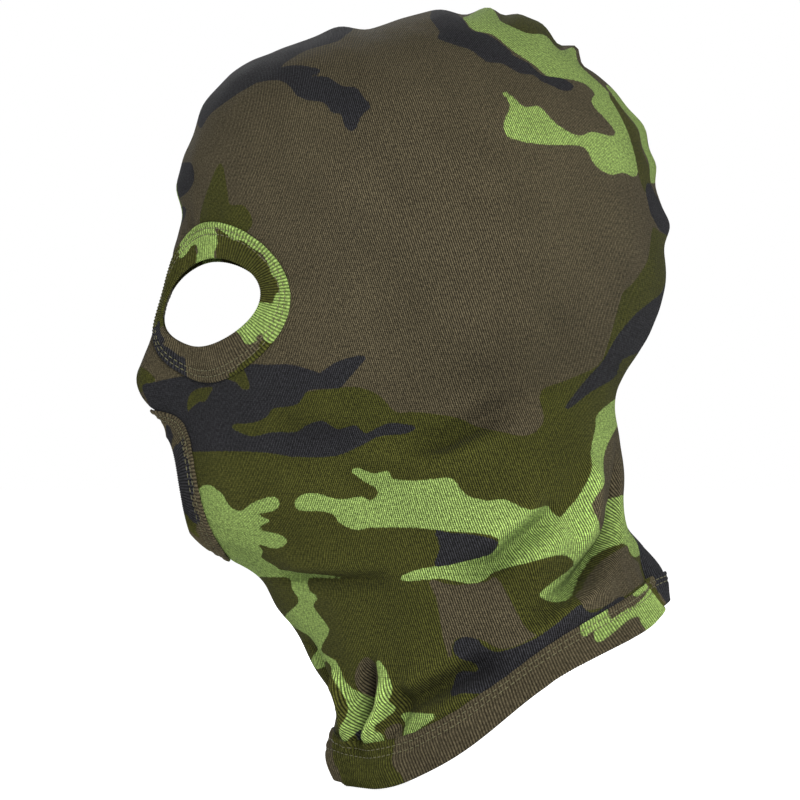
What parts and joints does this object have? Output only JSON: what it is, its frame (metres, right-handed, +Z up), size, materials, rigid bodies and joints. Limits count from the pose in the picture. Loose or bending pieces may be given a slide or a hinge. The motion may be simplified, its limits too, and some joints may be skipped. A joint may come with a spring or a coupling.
{
  "type": "balaclava face mask",
  "caption": "Stretch camouflage hood for the whole head and neck, with rib-bound openings for the eyes and the mouth and a rib hem.",
  "frame": {"origin": "middle of the wearer's head, level with the eyes, on the centre plane", "axes": "+Z up the worn hood, -Y the way the face looks, +X the wearer's left"},
  "size_m": [0.1542, 0.2212, 0.3205],
  "materials": {
    "camo_jersey": "matt printed cotton jersey in four woodland colours",
    "rib_binding": "matt printed one-by-one rib",
    "sewing_thread": "satin khaki polyester thread",
    "overlock_thread": "matt textured thread",
    "label_tape": "satin woven tape, blank"
  },
  "bodies": {
    "root": {"left_panel": "camo_jersey", "left_eye_band": "rib_binding", "left_eye_stitch_outer": "sewing_thread", "left_eye_stitch_inner": "sewing_thread", "left_eye_looper_thread": "sewing_thread", "right_panel": "camo_jersey", "right_eye_band": "rib_binding", "right_eye_stitch_outer": "sewing_thread", "right_eye_stitch_inner": "sewing_thread", "right_eye_looper_thread": "sewing_thread", "mouth_band": "rib_binding", "mouth_stitch_outer": "sewing_thread", "mouth_stitch_inner": "sewing_thread", "mouth_looper_thread": "sewing_thread", "neck_hem_band": "rib_binding", "neck_stitch_upper": "sewing_thread", "neck_stitch_lower": "sewing_thread", "neck_looper_thread": "sewing_thread", "crown_seam_overlock": "overlock_thread", "chin_seam_overlock": "overlock_thread", "care_label": "label_tape", "label_stitch": "sewing_thread"}
  },
  "joints": []
}
